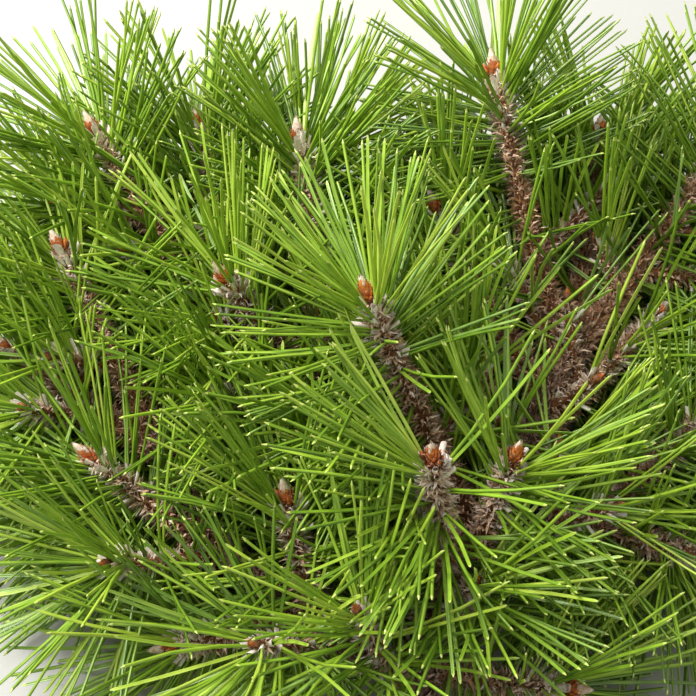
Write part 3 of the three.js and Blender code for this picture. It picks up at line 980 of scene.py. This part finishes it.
SCALE_SIZES = (1.1, 0.6)  # at the bud's foot and its tip
SCALE_SUNK = 0.84  # where its foot sits, as a share of the bud's radius
SCALE_LIFT = 0.3  # how far the tips of the scales stand off the bud
LIFT_END = 1.3  # how far up, past its tip, that would be nothing
SLOPE_UP, SLOPE_DOWN = 0.02, 0.015  # the bud's slope is taken between these
TONE_JITTER = 0.07
THREAD_LENGTH, THREAD_WIDTH, THREAD_SPREAD = 1.7, 0.7, 0.3
THREAD_AT = 0.75  # where a thread stands, as a share of its scale's length
THREAD_OUT, THREAD_STRAY = 0.25, 0.35
RESIN_PATCH = 1.5
BUD_SEED, SCALE_SEED, THREAD_SEED = 88, 3, 5

bud_random = np.random.default_rng(BUD_SEED)
resin = mottled("resinous_bud", 0.4, RESIN_PATCH, 0x6E2E12, 0xB5622C)


def bud_radius(rise):
    """A bud is widest a third of the way up and drawn out to a point."""
    return BUD_RADIUS * np.sin(math.pi * rise**BUD_LOW) ** BUD_DRAWN


bud_places = []
for number, (path, size) in enumerate(shoots):
    axis = heading(path, 1.0)
    foot = path[-1] - axis * size * BUD_LENGTH / 2
    pale = FRINGED * (number >= OPEN_BUDS)
    bud_places.append((foot, axis, 1.0 if size == 1.0 else TWIG_BUD, pale))
    first = bud_random.uniform(0, 2 * math.pi)
    for turn in (first, first + SIDE_BUD_TURN) if size == 1.0 else ():
        outward = round_about(axis, SIDEWAYS, turn)
        lean = unit(axis + outward * SIDE_BUD_LEAN)
        bud_places.append((foot + outward * SIDE_BUD_OUT, lean, SIDE_BUD, pale))

hearts = []
scales = {"root": [], "stand": [], "away": [], "growth": [], "tone": []}
for foot, axis, size, pale in bud_places:
    rise = np.linspace(BUD_FOOT, HEART_TOP, HEART_RINGS)
    outward = round_about(axis, SIDEWAYS, all_round(BUD_SIDES))
    radius = bud_radius(rise) * size * HEART
    centre = foot + axis * (rise * BUD_LENGTH * size)[:, None]
    rings = centre[:, None] + outward[None] * radius[:, None, None]
    ends = [foot, foot + axis * BUD_LENGTH * size * HEART]
    hearts.append(sleeve(rings, ends))
    count = BUD_SCALES if size == 1.0 else SMALL_BUD_SCALES
    climb = (np.arange(count) + 0.5) / count
    rise = BUD_FOOT + SCALED * climb
    outward = round_about(axis, SIDEWAYS, np.arange(count) * GOLDEN_ANGLE)
    swell = bud_radius(rise + SLOPE_UP) - bud_radius(rise - SLOPE_DOWN)
    slope = swell / ((SLOPE_UP + SLOPE_DOWN) * BUD_LENGTH)
    centre = foot + axis * (rise * BUD_LENGTH * size)[:, None]
    radius = bud_radius(rise) * size * SCALE_SUNK
    lift = slope + SCALE_LIFT * (LIFT_END - climb)
    tone = climb + pale - TWIG_DULL * (size < 1.0)
    scales["root"].append(centre + outward * radius[:, None])
    scales["stand"].append(unit(axis + outward * lift[:, None]))
    scales["away"].append(outward)
    scales["growth"].append(size**0.5 * taper(SCALE_SIZES, climb))
    scales["tone"].append(tone + bud_random.normal(0, TONE_JITTER, count))
piece = piece_from("bud_hearts", *gather(hearts), resin)
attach(piece, "root")
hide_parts(*SHOOTS)

scales = join(scales)
tones = scales.pop("tone")
scale_line = [(0.0, 0.0), (0.12, 0.3), (0.1, 0.7), (0.2, 1.0)]
bud_scale = blade("bud_scale", scale_line, [0.8, 1.0, 0.75, 0.15], cup=-0.2)
BUD_TONES = {
    "bud_scales_brown": (-math.inf, 0.1, 0x56301C, 0x9C6440),
    "bud_scales_orange": (0.1, 0.74, 0xC0521A, 0xF29A4C),
    "bud_scales_buff": (0.74, math.inf, 0xDCAE86, 0xFFF2E4),
}
size = (SCALE_WIDTH, SCALE_WIDTH, SCALE_LENGTH)
for name, chosen, colours in deal(BUD_TONES, tones):
    finish = dry_material("resin_coated_" + name, *colours)
    plant(name, bud_scale, scales, chosen, "bark", finish, size, SCALE_SPREAD, SCALE_SEED)

thread = blade("thread", [(0.0, 0.0), (0.1, 0.5), (0.35, 1.0)], [0.3, 0.22, 0.04])
near_edge = (scales["growth"] * SCALE_LENGTH * THREAD_AT)[:, None]
stray = bud_random.normal(0, THREAD_STRAY, scales["root"].shape)
fringes = {
    "root": scales["root"] + scales["stand"] * near_edge,
    "stand": unit(scales["stand"] + scales["away"] * THREAD_OUT + stray),
    "away": scales["away"],
    "growth": scales["growth"],
}
finish = dry_material("papery_bud_fringe", 0xD8C9B4, 0xF5EEE2)
size = (THREAD_WIDTH, THREAD_LENGTH, THREAD_LENGTH)
every = slice(None)
plant("bud_fringes", thread, fringes, every, "bark", finish, size, THREAD_SPREAD, THREAD_SEED)


# Floor. A plain pale board, painted matt and laid level. The bough lies on it by its own
# weight and isn't fixed to it.
FLOOR_HALF = 3.0  # metres
floor_finish, tree, shader, place = new_material("matt_painted_board", roughness=0.9)
shader.inputs["Base Color"].default_value = srgb(0xC2C0B9)
corners = [(-1, -1), (1, -1), (1, 1), (-1, 1)]
corners = [(x * FLOOR_HALF, y * FLOOR_HALF, 0.0) for x, y in corners]
mesh = make_mesh("floor", corners, faces=[(0, 1, 2, 3)])
mesh.materials.append(floor_finish)
floor = add_object("floor", mesh)


# Light: a large soft key from above and behind to the left, a weak fill from the right,
# and an even pale room round them.
LIGHTS = {  # place and width in metres, and watts
    "key": ((-0.8, 0.55, 1.25), 0.7, 43.0),
    "fill": ((1.0, -0.6, 1.1), 1.4, 3.0),
}
LIGHTS_AIM = Vector((0, 0, 0.08))
ROOM_LIGHT = 0.5


def aim(item, spot, along):
    """Puts a light or the camera at a spot in metres, turned so that it looks along."""
    item.location = spot
    item.rotation_mode = "QUATERNION"
    item.rotation_quaternion = along.to_track_quat("-Z", "Y")


for name, (spot, side, power) in LIGHTS.items():
    lamp = bpy.data.lights.new(name, "AREA")
    lamp.size = side
    lamp.energy = power
    aim(add_object(name, lamp), spot, LIGHTS_AIM - Vector(spot))
world = bpy.data.worlds.new("room")
world.use_nodes = True
room = world.node_tree.nodes["Background"].inputs
room["Color"].default_value = srgb(0xF2F4F6)
room["Strength"].default_value = ROOM_LIGHT
bpy.context.scene.world = world
bpy.context.scene.view_settings.view_transform = "Standard"


# Camera. It looks down on the bough at 60 degrees, from straight in front of the cut end,
# at the middle of the foliage.
CAMERA_DISTANCE = 680.5
CAMERA_RISE = math.radians(60)
CAMERA_TARGET = (0.0, -52.0, 90.0)
lens = bpy.data.cameras.new("camera")
lens.lens = 80
lens.sensor_width = 36
camera = add_object("camera", lens)
back = np.array([0.0, -math.cos(CAMERA_RISE), math.sin(CAMERA_RISE)])
aim(camera, (CAMERA_TARGET + back * CAMERA_DISTANCE + shift) * MM, Vector(-back))
bpy.context.scene.camera = camera
